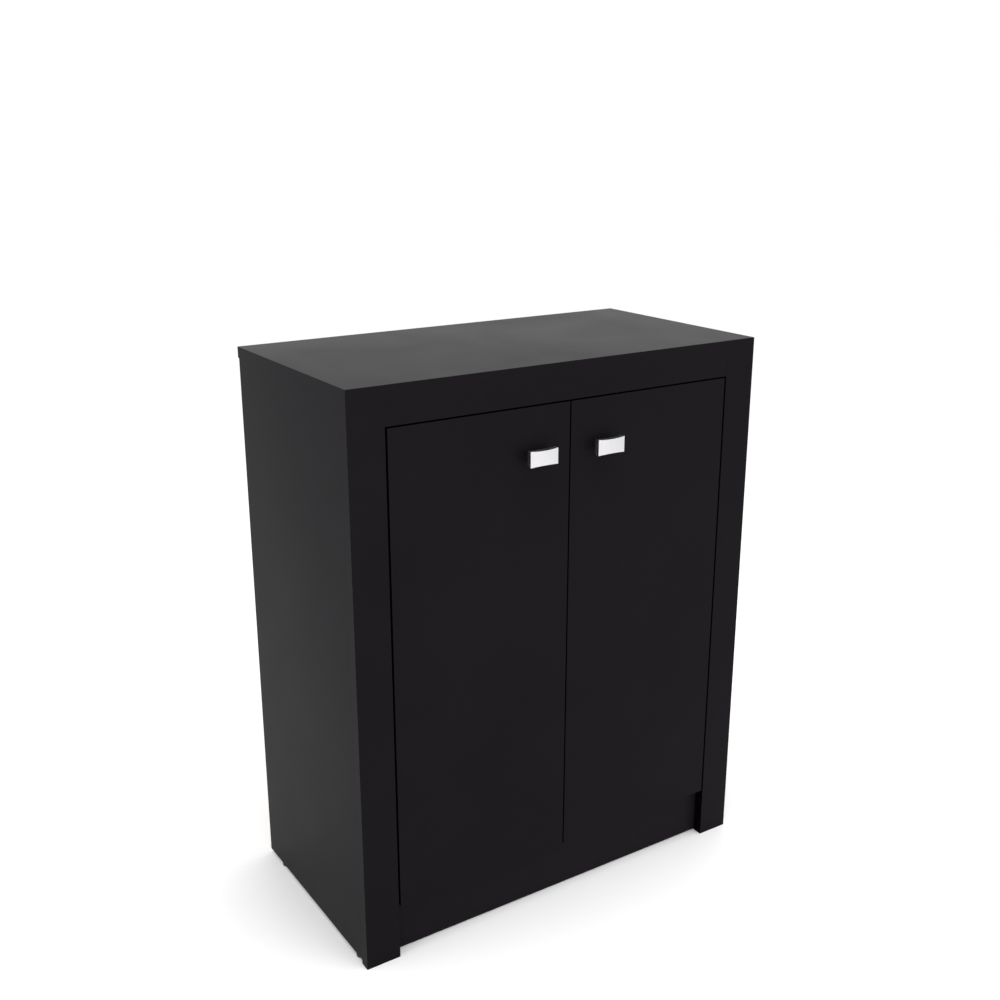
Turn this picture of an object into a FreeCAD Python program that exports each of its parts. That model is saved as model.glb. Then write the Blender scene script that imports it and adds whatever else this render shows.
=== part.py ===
"""Two-door shoe cabinet of melamine-faced board, with a framed front, inset doors and recessed kick board.

Millimetres. +Z is up and the front faces -Y. The origin is on the floor, under the middle of the
overall depth, which includes the handles. Left and right are as seen from the front.
"""

import FreeCAD
import Part
import Sketcher

import math
import os
import re

DIMENSIONS = {
    # overall carcass
    "cab_width": 750, "cab_depth": 386, "cab_height": 925, "board": 18,
    # front frame
    "post_width": 58.5, "rail_height": 41, "stile_depth": 60, "stretcher_height": 60,
    # base
    "side_lift": 7, "base_lift": 2, "kick_height": 96,
    # doors
    "door_board": 16, "side_gap": 3.3, "centre_gap": 2.4, "top_gap": 2.6, "door_bottom": 92.5,
    # shelves and back
    "shelf_board": 15, "shelf_front": 82, "shelf_rear_gap": 3, "shelf_play": 0.5,
    "back_board": 3, "back_inset": 1, "strip_web": 1.6, "strip_flange": 14, "strip_skin": 0.9,
    "nail_radius": 0.9, "nail_length": 14, "nail_head": 2.4, "nail_head_depth": 0.8, "nail_pitch": 110,
    # handles
    "handle_length": 50, "handle_height": 25.4, "handle_waist": 1.3, "handle_thick": 10.5,
    "handle_reach": 24, "handle_pitch": 16, "leg_radius": 4, "handle_inset": 61.9, "handle_level": 789,
    "handle_screw_radius": 2, "handle_screw_play": 0.2, "handle_screw_bite": 9, "handle_screw_head": 4,
    "handle_head_depth": 2.4,
    # concealed hinges: distances from the stile face and from the front plane
    "hinge_inset": 100, "cup_out": 25.8, "cup_radius": 17.5, "cup_depth": 11.5, "cup_wall": 0.8,
    "flange_thick": 0.8, "flange_height": 54, "flange_width": 18, "rim_radius": 18.3,
    "cup_screw_offset": 22.5, "hinge_screw_radius": 1.75, "hinge_screw_head": 3.5,
    "hinge_screw_head_depth": 1.6, "hinge_screw_length": 12,
    "arm_pin_out": 8.43, "arm_pin_back": 20.83, "arm_pin_radius": 1.5, "arm_nose": 2.8,
    "arm_height": 15, "arm_skin": 1.4, "arm_web_out": 15, "arm_web_front": 36, "arm_rear": 74,
    "arm_root": 4, "arm_screw_back": 62, "arm_screw_radius": 2.5, "arm_screw_head": 4.5,
    "arm_screw_head_depth": 2.2,
    "plate_thick": 2, "plate_front": 40, "plate_rear": 74, "plate_width": 18, "plate_wing": 48,
    "plate_wing_depth": 16, "plate_wing_back": 50, "plate_screw_offset": 16, "rib_height": 10,
    "rib_front": 44, "rib_rear": 72, "rib_floor": 4,
    "link_height": 10, "link_thick": 2.2, "link_eye": 2.6, "link_play": 0.06, "knee_out": 23.7,
    "knee_back": 30.3, "knee_bend": 12, "toe_out": 40.8, "toe_back": 18.4, "toe_bend": 9, "tip_out": 30.2,
    "tip_back": 8,
    # joinery
    "dowel_radius": 4, "dowel_shallow": 10, "dowel_deep": 20, "cam_radius": 7.5, "cam_depth": 12.5,
    "cam_inset": 34, "bolt_radius": 3, "bolt_bite": 10, "pin_radius": 2.5, "pin_bite": 9,
    "pin_reach": 8, "pin_hole_depth": 10, "pin_pitch": 32, "pin_front": 110, "pin_rear": 350,
    "joint_screw_radius": 2, "joint_screw_head": 4, "joint_screw_head_depth": 2, "joint_screw_bite": 14,
    # small parts
    "glide_radius": 8.5, "glide_stem_radius": 2, "glide_stem": 16, "glide_front": 38, "glide_rear": 330,
    "bumper_radius": 4, "bumper_thick": 1.7, "bumper_inset": 40, "bumper_drop": 52,
}
SHELF_NAMES = ["shelf_lower", "fixed_shelf", "shelf_middle", "shelf_upper"]
SIDES = {"left": -1, "right": 1}

doc = FreeCAD.newDocument("ShoeCabinet")
sheet = doc.addObject("Spreadsheet::Sheet", "Sizes")
for row, (alias, size) in enumerate(DIMENSIONS.items(), start=1):
    sheet.set(f"A{row}", alias)
    sheet.set(f"B{row}", str(size))
    sheet.setAlias(f"B{row}", alias)
doc.recompute()
WORDS = re.compile(r"\b(" + "|".join(sorted(DIMENSIONS, key=len, reverse=True)) + r")\b")

# distances used in several places, written in terms of the sheet
FRONT = "(handle_reach - cab_depth) / 2"
TOP = "(cab_height - board)"
INNER = "(cab_width / 2 - board)"
OPENING = "(cab_width / 2 - post_width)"
BASE = "(base_lift + kick_height)"
FLOOR = f"({BASE} + board)"
BACK_FACE = "(cab_depth - back_board - back_inset)"
CLEAR = f"(({TOP} - {FLOOR} - 4 * shelf_board) / 5)"
DOOR_TOP = f"({TOP} - rail_height - top_gap)"
DOOR_WIDTH = f"({OPENING} - side_gap - centre_gap / 2)"
DOOR_HEIGHT = f"({DOOR_TOP} - door_bottom)"
SHELF_DEPTH = f"({BACK_FACE} - shelf_rear_gap - shelf_front)"

solids = {}
bores = []


def bind(thing, path, expression):
    """Tie one property of an object to an expression in the sheet's words."""
    thing.setExpression(path, WORDS.sub(r"Sizes.\1", str(expression)))


def place(thing, at):
    """Put an object at a point given by three expressions."""
    for axis, position in zip("xyz", at):
        bind(thing, f"Placement.Base.{axis}", position)


def flat_sketch(body, plane, offset, label):
    """Add a sketch to a body, parallel to one of its origin planes and offset along that plane's normal."""
    sketch = body.newObject("Sketcher::SketchObject", label)
    base = next(item for item in body.Origin.OriginFeatures if item.Role == plane)
    sketch.AttachmentSupport = [(base, "")]
    sketch.MapMode = "FlatFace"
    bind(sketch, "AttachmentOffset.Base.z", offset)
    return sketch


def limit(sketch, constraint, name, expression):
    """Add a dimension to a sketch and bind it to the sheet."""
    index = sketch.addConstraint(constraint)
    sketch.renameConstraint(index, name)
    bind(sketch, f"Constraints.{name}", expression)


def rectangle(sketch, low, high):
    """Draw a rectangle between two corners, each given as a pair of expressions."""
    corners = [FreeCAD.Vector(x, y, 0) for x, y in ((1, 1), (9, 1), (9, 9), (1, 9))]
    first = sketch.GeometryCount
    for start, end in zip(corners, corners[1:] + corners[:1]):
        sketch.addGeometry(Part.LineSegment(start, end), False)
    for side in range(4):
        sketch.addConstraint(Sketcher.Constraint("Coincident", first + side, 2, first + (side + 1) % 4, 1))
        kind = "Vertical" if side % 2 else "Horizontal"
        sketch.addConstraint(Sketcher.Constraint(kind, first + side))
    for corner, point, name in ((low, (first, 1), "low"), (high, (first + 2, 1), "high")):
        for axis, expression in zip("XY", corner):
            constraint = Sketcher.Constraint(f"Distance{axis}", -1, 1, *point, 5.0)
            limit(sketch, constraint, f"{name}{axis}{first}", expression)


def circle(sketch, centre, radius):
    """Draw a circle from two expressions for its centre and one for its radius."""
    index = sketch.addGeometry(Part.Circle(FreeCAD.Vector(5, 5, 0), FreeCAD.Vector(0, 0, 1), 2), False)
    limit(sketch, Sketcher.Constraint("Radius", index, 2.0), f"radius{index}", radius)
    for axis, expression in zip("XY", centre):
        constraint = Sketcher.Constraint(f"Distance{axis}", -1, 1, index, 3, 5.0)
        limit(sketch, constraint, f"centre{axis}{index}", expression)


def pad(body, sketch, length):
    feature = body.newObject("PartDesign::Pad", "Pad")
    feature.Profile = sketch
    bind(feature, "Length", length)
    return feature


# face: origin plane, how far along its normal, whether the pocket runs along the normal, sketch axes
FACES = {
    "left": ("YZ_Plane", 0, None, True, (1, 2)), "right": ("YZ_Plane", 1, 0, False, (1, 2)),
    "front": ("XZ_Plane", 0, None, False, (0, 2)), "rear": ("XZ_Plane", -1, 1, True, (0, 2)),
    "under": ("XY_Plane", 0, None, True, (0, 1)), "top": ("XY_Plane", 1, 2, False, (0, 1)),
}


def panel(label, at, size):
    """A board: a rectangle padded to the board's height, placed by its low corner."""
    body = doc.addObject("PartDesign::Body", label)
    body.Label = label
    outline = flat_sketch(body, "XY_Plane", "0", label + "_outline")
    rectangle(outline, ("0", "0"), (size[0], size[1]))
    pad(body, outline, size[2])
    place(body, at)
    solids[label] = body
    bores.append((body, at, size, {}))
    return body


def bore(label, face, spot, radius, depth):
    """Note a blind round hole in one face of a board; spot is a point in the cabinet's own frame."""
    record = next(item for item in bores if item[0].Label == label)
    record[3].setdefault((face, depth), []).append((spot, radius))


def drill_boards():
    """Cut every noted hole, one pocket for each face and depth, and check that each removes wood."""
    doc.recompute()
    for body, at, size, holes in bores:
        for (face, depth), spots in holes.items():
            plane, sign, across, along_normal, axes = FACES[face]
            offset = "0" if across is None else f"({sign}) * ({size[across]})"
            sketch = flat_sketch(body, plane, offset, f"{body.Label}_{face}_holes")
            for spot, radius in spots:
                circle(sketch, [f"({spot[axis]}) - ({at[axis]})" for axis in axes], radius)
            pocket = body.newObject("PartDesign::Pocket", "Pocket")
            pocket.Profile = sketch
            pocket.Reversed = along_normal
            bind(pocket, "Length", depth)
            before = body.Shape.Volume
            doc.recompute()
            if not before - body.Shape.Volume > 1:
                raise RuntimeError(f"the holes in {body.Label}, {face} face, remove nothing")


def box(name, at, size):
    block = doc.addObject("Part::Box", name)
    for side, expression in zip(("Length", "Width", "Height"), size):
        bind(block, side, expression)
    place(block, at)
    return block


TURNS = {"x": ((0, 1, 0), 90), "y": ((1, 0, 0), -90), "z": ((0, 0, 1), 0)}


def rod(name, at, axis, radius, length):
    """A cylinder that starts at a point and runs along +x, +y or +z."""
    cylinder = doc.addObject("Part::Cylinder", name)
    turn, angle = TURNS[axis]
    cylinder.Placement.Rotation = FreeCAD.Rotation(FreeCAD.Vector(*turn), angle)
    bind(cylinder, "Radius", radius)
    bind(cylinder, "Height", length)
    place(cylinder, at)
    return cylinder


def fuse(name, pieces):
    joined = doc.addObject("Part::MultiFuse", name)
    joined.Shapes = pieces
    return joined


def cut(name, base, tools):
    """Take one or more tools away from a base."""
    taken = doc.addObject("Part::Cut", name)
    taken.Base = base
    taken.Tool = tools[0] if len(tools) == 1 else fuse(name + "_tools", tools)
    return taken


def group(label, pieces):
    """One sub-part made of several separate solids, such as a set of equal screws."""
    together = doc.addObject("Part::Compound", label)
    together.Links = pieces
    together.Label = label
    solids[label] = together


def add(at, offset, axis):
    """A point moved along one axis by an expression."""
    moved = list(at)
    index = "xyz".index(axis)
    moved[index] = f"({moved[index]}) + ({offset})"
    return tuple(moved)


def shelf_level(number):
    """Height of the underside of a shelf, counted from the lowest."""
    return f"({FLOOR} + {number + 1} * {CLEAR} + {number} * shelf_board)"


def from_front(distance):
    return f"({FRONT} + {distance})"


def on_side(side, distance):
    """An x position at a distance from the middle, on the left or the right."""
    return f"({SIDES[side]}) * ({distance})"


def low_x(side, near, far):
    """The lower x of a span that runs from one distance to a greater one on the given side."""
    return f"-({far})" if side == "left" else f"({near})"


# ---- boards of the carcass

panel("top_panel", ("-cab_width / 2", FRONT, TOP), ("cab_width", "cab_depth", "board"))
for side in SIDES:
    panel(f"side_panel_{side}", (low_x(side, INNER, "cab_width / 2"), from_front("board"), "side_lift"),
          ("board", f"{BACK_FACE} - board", f"{TOP} - side_lift"))
    panel(f"front_post_{side}", (low_x(side, OPENING, "cab_width / 2"), FRONT, "0"),
          ("post_width", "board", TOP))
    panel(f"hinge_stile_{side}", (low_x(side, OPENING, f"{OPENING} + board"), from_front("board"), FLOOR),
          ("board", "stile_depth", f"{TOP} - {FLOOR}"))
panel("top_rail", (f"-{OPENING}", FRONT, f"{TOP} - rail_height"), (f"2 * {OPENING}", "board", "rail_height"))
panel("front_stretcher", (f"-{OPENING}", from_front("board"), f"{TOP} - stretcher_height"),
      (f"2 * {OPENING}", "board", "stretcher_height"))
panel("kick_board", (f"-{INNER}", from_front("board"), "base_lift"), (f"2 * {INNER}", "board", "kick_height"))
panel("rear_base_rail", (f"-{INNER}", from_front(f"{BACK_FACE} - board"), "base_lift"),
      (f"2 * {INNER}", "board", "kick_height"))
panel("bottom_panel", (f"-{INNER}", from_front("board"), BASE),
      (f"2 * {INNER}", f"{BACK_FACE} - board", "board"))
for number, name in enumerate(SHELF_NAMES):
    play = "0" if name == "fixed_shelf" else "shelf_play"
    panel(name, (f"-{INNER} + {play}", from_front("shelf_front"), shelf_level(number)),
          (f"2 * ({INNER} - {play})", SHELF_DEPTH, "shelf_board"))

# ---- hardboard back in two halves, held by a plastic strip and nailed round the edge

for side in SIDES:
    panel(f"back_panel_{side}", (low_x(side, "strip_web / 2", "cab_width / 2 - board / 6"),
                                 from_front(BACK_FACE), "side_lift"),
          ("cab_width / 2 - board / 6 - strip_web / 2", "back_board", f"{TOP} - side_lift"))
strip_bars = [
    ("web", "strip_web", BACK_FACE, "back_board", "side_lift"),
    ("outer_lip", "strip_flange", f"{BACK_FACE} + back_board", "strip_skin", "side_lift"),
    ("inner_lip", "strip_flange", f"{BACK_FACE} - strip_skin", "strip_skin", FLOOR),
]
strip = fuse("back_joining_strip", [
    box(f"strip_{name}", (f"-{width} / 2", from_front(near), bottom), (width, thick, f"{TOP} - {bottom}"))
    for name, width, near, thick, bottom in strip_bars])
solids["back_joining_strip"] = strip

nails = []


def nail(x, z, frame_board, back_board):
    """A nail through the hardboard into the rear edge of a board."""
    for board, depth in ((back_board, "back_board"), (frame_board, "nail_length - back_board")):
        bore(board, "rear", (x, "0", z), "nail_radius", depth)
    face = f"{BACK_FACE} + back_board"
    count = len(nails)
    shank = rod(f"nail_shank_{count}", (x, from_front(f"{face} - nail_length"), z), "y",
                "nail_radius", "nail_length")
    head = rod(f"nail_head_{count}", (x, from_front(face), z), "y", "nail_head", "nail_head_depth")
    nails.append(fuse(f"nail_{count}", [shank, head]))


for side in SIDES:
    for step in range(8):
        nail(on_side(side, "cab_width / 2 - board / 2"), f"side_lift + (0.5 + {step}) * nail_pitch",
             f"side_panel_{side}", f"back_panel_{side}")
    for step in range(3):
        nail(on_side(side, f"(0.5 + {step}) * nail_pitch"), f"{BASE} + board / 2", "bottom_panel",
             f"back_panel_{side}")
group("back_nails", nails)

# ---- dowels, each in a shallow hole in one board's face and a deep hole in the other board's edge

dowels = []
OPPOSITE = {"under": "top", "top": "under", "left": "right", "right": "left", "front": "rear",
            "rear": "front"}


def dowel(joint, axis, heading, face_board, edge_board):
    """A dowel across a joint at a point of the joint's plane; heading is the way into the face board."""
    shallow_end = {("x", 1): "left", ("x", -1): "right", ("y", -1): "rear", ("z", 1): "under",
                   ("z", -1): "top"}[(axis, heading)]
    bore(face_board, shallow_end, joint, "dowel_radius", "dowel_shallow")
    bore(edge_board, OPPOSITE[shallow_end], joint, "dowel_radius", "dowel_deep")
    back = "dowel_deep" if heading > 0 else "dowel_shallow"
    dowels.append(rod(f"dowel_{len(dowels)}", add(joint, f"-{back}", axis), axis, "dowel_radius",
                      "dowel_shallow + dowel_deep"))


MID_SIDE = "cab_width / 2 - board / 2"
MID_STILE = f"{OPENING} + board / 2"
MID_FRONT = from_front("board / 2")
for side, sign in SIDES.items():
    for depth in (60, 200, 350):
        dowel((on_side(side, MID_SIDE), from_front(depth), TOP), "z", 1, "top_panel", f"side_panel_{side}")
        dowel((on_side(side, INNER), from_front(depth), f"{BASE} + board / 2"), "x", sign,
              f"side_panel_{side}", "bottom_panel")
    for depth in (150, 300):
        dowel((on_side(side, INNER), from_front(depth), f"{shelf_level(1)} + shelf_board / 2"), "x", sign,
              f"side_panel_{side}", "fixed_shelf")
    for height in (120, 340, 560, 780):
        dowel((on_side(side, MID_SIDE), from_front("board"), height), "y", -1, f"front_post_{side}",
              f"side_panel_{side}")
    for height in (190, 510, 830):
        dowel((on_side(side, MID_STILE), from_front("board"), height), "y", -1, f"front_post_{side}",
              f"hinge_stile_{side}")
    for height in (30, 70):
        dowel((on_side(side, INNER), from_front("1.5 * board"), height), "x", sign, f"side_panel_{side}",
              "kick_board")
        dowel((on_side(side, INNER), from_front(f"{BACK_FACE} - board / 2"), height), "x", sign,
              f"side_panel_{side}", "rear_base_rail")
    dowel((on_side(side, MID_STILE), from_front(60), TOP), "z", 1, "top_panel", f"hinge_stile_{side}")
    dowel((on_side(side, MID_STILE), from_front(60), FLOOR), "z", -1, "bottom_panel", f"hinge_stile_{side}")
    dowel((on_side(side, MID_STILE), MID_FRONT, TOP), "z", 1, "top_panel", f"front_post_{side}")
    dowel((on_side(side, 150), from_front("1.5 * board"), TOP), "z", 1, "top_panel", "front_stretcher")
for across in (-200, 0, 200):
    dowel((str(across), MID_FRONT, TOP), "z", 1, "top_panel", "top_rail")
group("dowels", dowels)

# ---- cam fittings: a round cam in one board draws in a bolt that is screwed into the other

cams, bolts = [], []


def cam_fitting(cam_board, cam_face, cam_spot, cam_axis, bolt_from, bolt_axis, heading, bolt_board,
                bolt_face):
    """cam_spot lies on the cam's face, bolt_from is the cam's middle on the bolt's own line."""
    count = len(cams)
    bore(cam_board, cam_face, cam_spot, "cam_radius", "cam_depth")
    bore(cam_board, OPPOSITE[bolt_face], bolt_from, "bolt_radius", "cam_inset")
    bore(bolt_board, bolt_face, bolt_from, "bolt_radius", "bolt_bite")
    start = bolt_from if heading > 0 else add(bolt_from, "-(cam_inset + bolt_bite)", bolt_axis)
    bolts.append(rod(f"bolt_{count}", start, bolt_axis, "bolt_radius", "cam_inset + bolt_bite"))
    channel = rod(f"cam_channel_{count}", start, bolt_axis, "bolt_radius", "cam_inset + bolt_bite")
    inward = 1 if cam_face in ("left", "under") else -1
    base = cam_spot if inward > 0 else add(cam_spot, "-cam_depth", cam_axis)
    disc = rod(f"cam_disc_{count}", base, cam_axis, "cam_radius", "cam_depth")
    cams.append(cut(f"cam_{count}", disc, [channel]))


for side, sign in SIDES.items():
    inner_face = "right" if side == "left" else "left"
    outer_end = "left" if side == "left" else "right"
    for depth in (100, 320):
        spot = (on_side(side, INNER), from_front(depth), f"{TOP} - cam_inset")
        cam_fitting(f"side_panel_{side}", inner_face, spot, "x",
                    (on_side(side, MID_SIDE), from_front(depth), f"{TOP} - cam_inset"), "z", 1,
                    "top_panel", "under")
        for board, bottom, thickness in (("bottom_panel", BASE, "board"),
                                         ("fixed_shelf", shelf_level(1), "shelf_board")):
            middle = on_side(side, f"{INNER} - cam_inset")
            cam_fitting(board, "under", (middle, from_front(depth), bottom), "z",
                        (middle, from_front(depth), f"{bottom} + {thickness} / 2"), "x", sign,
                        f"side_panel_{side}", inner_face)
group("cam_locks", cams)
group("cam_bolts", bolts)

# ---- screws that join the stretcher to the top rail

joint_screws = []
for number, across in enumerate((-250, -100, 100, 250)):
    spot = (str(across), from_front("2 * board"), f"{TOP} - rail_height / 2")
    bore("front_stretcher", "rear", spot, "joint_screw_radius", "board")
    bore("top_rail", "rear", spot, "joint_screw_radius", "joint_screw_bite")
    shank = rod(f"joint_shank_{number}", add(spot, "-(board + joint_screw_bite)", "y"), "y",
                "joint_screw_radius", "board + joint_screw_bite")
    head = rod(f"joint_head_{number}", spot, "y", "joint_screw_head", "joint_screw_head_depth")
    joint_screws.append(fuse(f"joint_screw_{number}", [shank, head]))
group("stretcher_screws", joint_screws)

# ---- shelf pins and the rows of holes that let the loose shelves move up or down one step

pins = []
for side, sign in SIDES.items():
    inner_face = "right" if side == "left" else "left"
    for number, name in enumerate(SHELF_NAMES):
        if name == "fixed_shelf":
            continue
        for depth in ("pin_front", "pin_rear"):
            level = f"{shelf_level(number)} - pin_radius"
            for step in (-1, 0, 1):
                bore(f"side_panel_{side}", inner_face,
                     ("0", from_front(depth), f"{level} + {step} * pin_pitch"), "pin_radius",
                     "pin_hole_depth")
            near = low_x(side, f"{INNER} - pin_reach", f"{INNER} + pin_bite")
            pins.append(rod(f"pin_{len(pins)}", (near, from_front(depth), level), "x", "pin_radius",
                            "pin_bite + pin_reach"))
group("shelf_pins", pins)

# ---- glides under the side panels and bumpers for the doors

glides = []
for side in SIDES:
    for depth in ("glide_front", "glide_rear"):
        spot = (on_side(side, MID_SIDE), from_front(depth), "0")
        bore(f"side_panel_{side}", "under", spot, "glide_stem_radius", "glide_stem")
        foot = rod(f"glide_foot_{len(glides)}", spot, "z", "glide_radius", "side_lift")
        stem = rod(f"glide_stem_{len(glides)}", add(spot, "side_lift", "z"), "z", "glide_stem_radius",
                   "glide_stem")
        glides.append(fuse(f"glide_{len(glides)}", [foot, stem]))
group("floor_glides", glides)

bumpers = []
for side in SIDES:
    for height in (f"{TOP} - bumper_drop", f"{BASE} + board / 2"):
        bumpers.append(rod(f"bumper_{len(bumpers)}",
                           (on_side(side, "bumper_inset"), from_front("board - bumper_thick"), height), "y",
                           "bumper_radius", "bumper_thick"))
group("door_bumpers", bumpers)

# ---- doors and handles


def handle_outline(sketch):
    """The bar's face: upright ends, with the long edges bowed in towards the middle."""
    half_length, half_height = DIMENSIONS["handle_length"] / 2, DIMENSIONS["handle_height"] / 2
    waist = half_height - DIMENSIONS["handle_waist"]
    left_low, right_low, right_high, left_high = (
        FreeCAD.Vector(half_length * x, half_height * y, 0) for x, y in ((-1, -1), (1, -1), (1, 1), (-1, 1)))
    sketch.addGeometry(Part.Arc(left_low, FreeCAD.Vector(0, -waist, 0), right_low), False)
    sketch.addGeometry(Part.LineSegment(right_low, right_high), False)
    sketch.addGeometry(Part.Arc(right_high, FreeCAD.Vector(0, waist, 0), left_high), False)
    sketch.addGeometry(Part.LineSegment(left_high, left_low), False)
    # an arc is stored running anticlockwise, so its two ends are told apart by where they lie
    bottom_left, bottom_right = (1, 2) if sketch.getPoint(0, 1).x < 0 else (2, 1)
    top_right, top_left = (1, 2) if sketch.getPoint(2, 1).x > 0 else (2, 1)
    for joint in ((0, bottom_right, 1, 1), (1, 2, 2, top_right), (2, top_left, 3, 1), (3, 2, 0, bottom_left)):
        sketch.addConstraint(Sketcher.Constraint("Coincident", *joint))
    for line in (1, 3):
        sketch.addConstraint(Sketcher.Constraint("Vertical", line))
        limit(sketch, Sketcher.Constraint("Distance", line, 2 * half_height), f"height{line}",
              "handle_height")
    sketch.addConstraint(Sketcher.Constraint("Symmetric", 0, bottom_left, 2, top_right, -1, 1))
    limit(sketch, Sketcher.Constraint("DistanceX", 0, bottom_left, 0, bottom_right, 2 * half_length),
          "length", "handle_length")
    for arc in (0, 2):
        limit(sketch, Sketcher.Constraint("Radius", arc, sketch.Geometry[arc].Radius), f"bow{arc}",
              "(handle_length ^ 2 / 4 + handle_waist ^ 2) / (2 * handle_waist)")


def bar_handle(side, at):
    """A bar on two round legs, with a blind screw hole in each leg."""
    body = doc.addObject("PartDesign::Body", f"handle_{side}")
    body.Label = f"handle_{side}"
    face = flat_sketch(body, "XZ_Plane", "handle_reach - handle_thick", f"handle_face_{side}")
    handle_outline(face)
    pad(body, face, "handle_thick")
    legs = flat_sketch(body, "XZ_Plane", "0", f"handle_legs_{side}")
    holes = flat_sketch(body, "XZ_Plane", "0", f"handle_holes_{side}")
    for end in (-1, 1):
        circle(legs, (f"{end} * handle_pitch / 2", "0"), "leg_radius")
        circle(holes, (f"{end} * handle_pitch / 2", "0"), "handle_screw_radius")
    doc.recompute()
    pad(body, legs, "handle_reach - handle_thick")
    doc.recompute()
    whole = body.Shape.Volume
    tapped = body.newObject("PartDesign::Pocket", "Pocket")
    tapped.Profile = holes
    tapped.Reversed = True
    bind(tapped, "Length", "handle_screw_bite")
    doc.recompute()
    if not whole - body.Shape.Volume > 1:
        raise RuntimeError(f"the screw holes in handle_{side} remove nothing")
    place(body, at)
    solids[f"handle_{side}"] = body


for side in SIDES:
    door = f"door_panel_{side}"
    panel(door, (low_x(side, "centre_gap / 2", f"{OPENING} - side_gap"), FRONT, "door_bottom"),
          (DOOR_WIDTH, "door_board", DOOR_HEIGHT))
    handle_middle = on_side(side, "centre_gap / 2 + handle_inset")
    bar_handle(side, (handle_middle, FRONT, "handle_level"))
    screws = []
    for end in (-1, 1):
        spot = (f"({handle_middle}) + {end} * handle_pitch / 2", from_front("door_board"), "handle_level")
        bore(door, "rear", spot, "handle_screw_radius + handle_screw_play", "door_board")
        shank = rod(f"handle_shank_{side}_{end}", add(spot, "-(door_board + handle_screw_bite)", "y"), "y",
                    "handle_screw_radius", "door_board + handle_screw_bite")
        head = rod(f"handle_head_{side}_{end}", spot, "y", "handle_screw_head", "handle_head_depth")
        screws.append(fuse(f"handle_screw_{side}_{end}", [shank, head]))
    group(f"handle_screws_{side}", screws)

# ---- concealed hinges: cup in the door, arm and plate on the stile, bent link between them


def out(side, near, far):
    """The lower x of a span measured out from the stile's face into the opening."""
    return low_x(side, f"{OPENING} - ({far})", f"{OPENING} - ({near})")


def at_out(side, distance):
    return on_side(side, f"{OPENING} - ({distance})")


def rounded_path(points, bends):
    """A flat open wire through the points, with each inner corner rounded by an arc."""
    edges, here = [], points[0]
    for before, corner, after, bend in zip(points, points[1:], points[2:], bends):
        back, ahead = (before - corner).normalize(), (after - corner).normalize()
        half = back.getAngle(ahead) / 2
        reach = bend / math.tan(half)
        start, end = corner + back * reach, corner + ahead * reach
        middle = corner + (back + ahead).normalize() * (bend / math.sin(half) - bend)
        edges += [Part.LineSegment(here, start).toShape(), Part.Arc(start, middle, end).toShape()]
        here = end
    edges.append(Part.LineSegment(here, points[-1]).toShape())
    return Part.Wire(edges)


def link_shape(side):
    """The bent strip that joins arm and cup, with an eye round the arm's pin, once for each hinge."""
    size = {name: sheet.get(name) for name in DIMENSIONS}
    door_top = size["cab_height"] - size["board"] - size["rail_height"] - size["top_gap"]
    heights = (size["door_bottom"] + size["hinge_inset"], door_top - size["hinge_inset"])
    stile = size["cab_width"] / 2 - size["post_width"]
    front = (size["handle_reach"] - size["cab_depth"]) / 2
    sign = SIDES[side]

    def point(name):
        return FreeCAD.Vector(sign * (stile - size[name + "_out"]), front + size[name + "_back"], 0)

    path = rounded_path([point(name) for name in ("arm_pin", "knee", "toe", "tip")],
                        (size["knee_bend"], size["toe_bend"]))
    outline = path.makeOffset2D(size["link_thick"] / 2, 0, False, False)
    strip = Part.Face(outline).extrude(FreeCAD.Vector(0, 0, size["link_height"]))
    eye = Part.makeCylinder(size["link_eye"], size["link_height"], point("arm_pin"))
    hole = Part.makeCylinder(size["arm_pin_radius"] + size["link_play"], size["link_height"],
                             point("arm_pin"))
    link = strip.fuse(eye).cut(hole)
    copies = [link.translated(FreeCAD.Vector(0, 0, height - size["link_height"] / 2)) for height in heights]
    return Part.makeCompound(copies)


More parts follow.
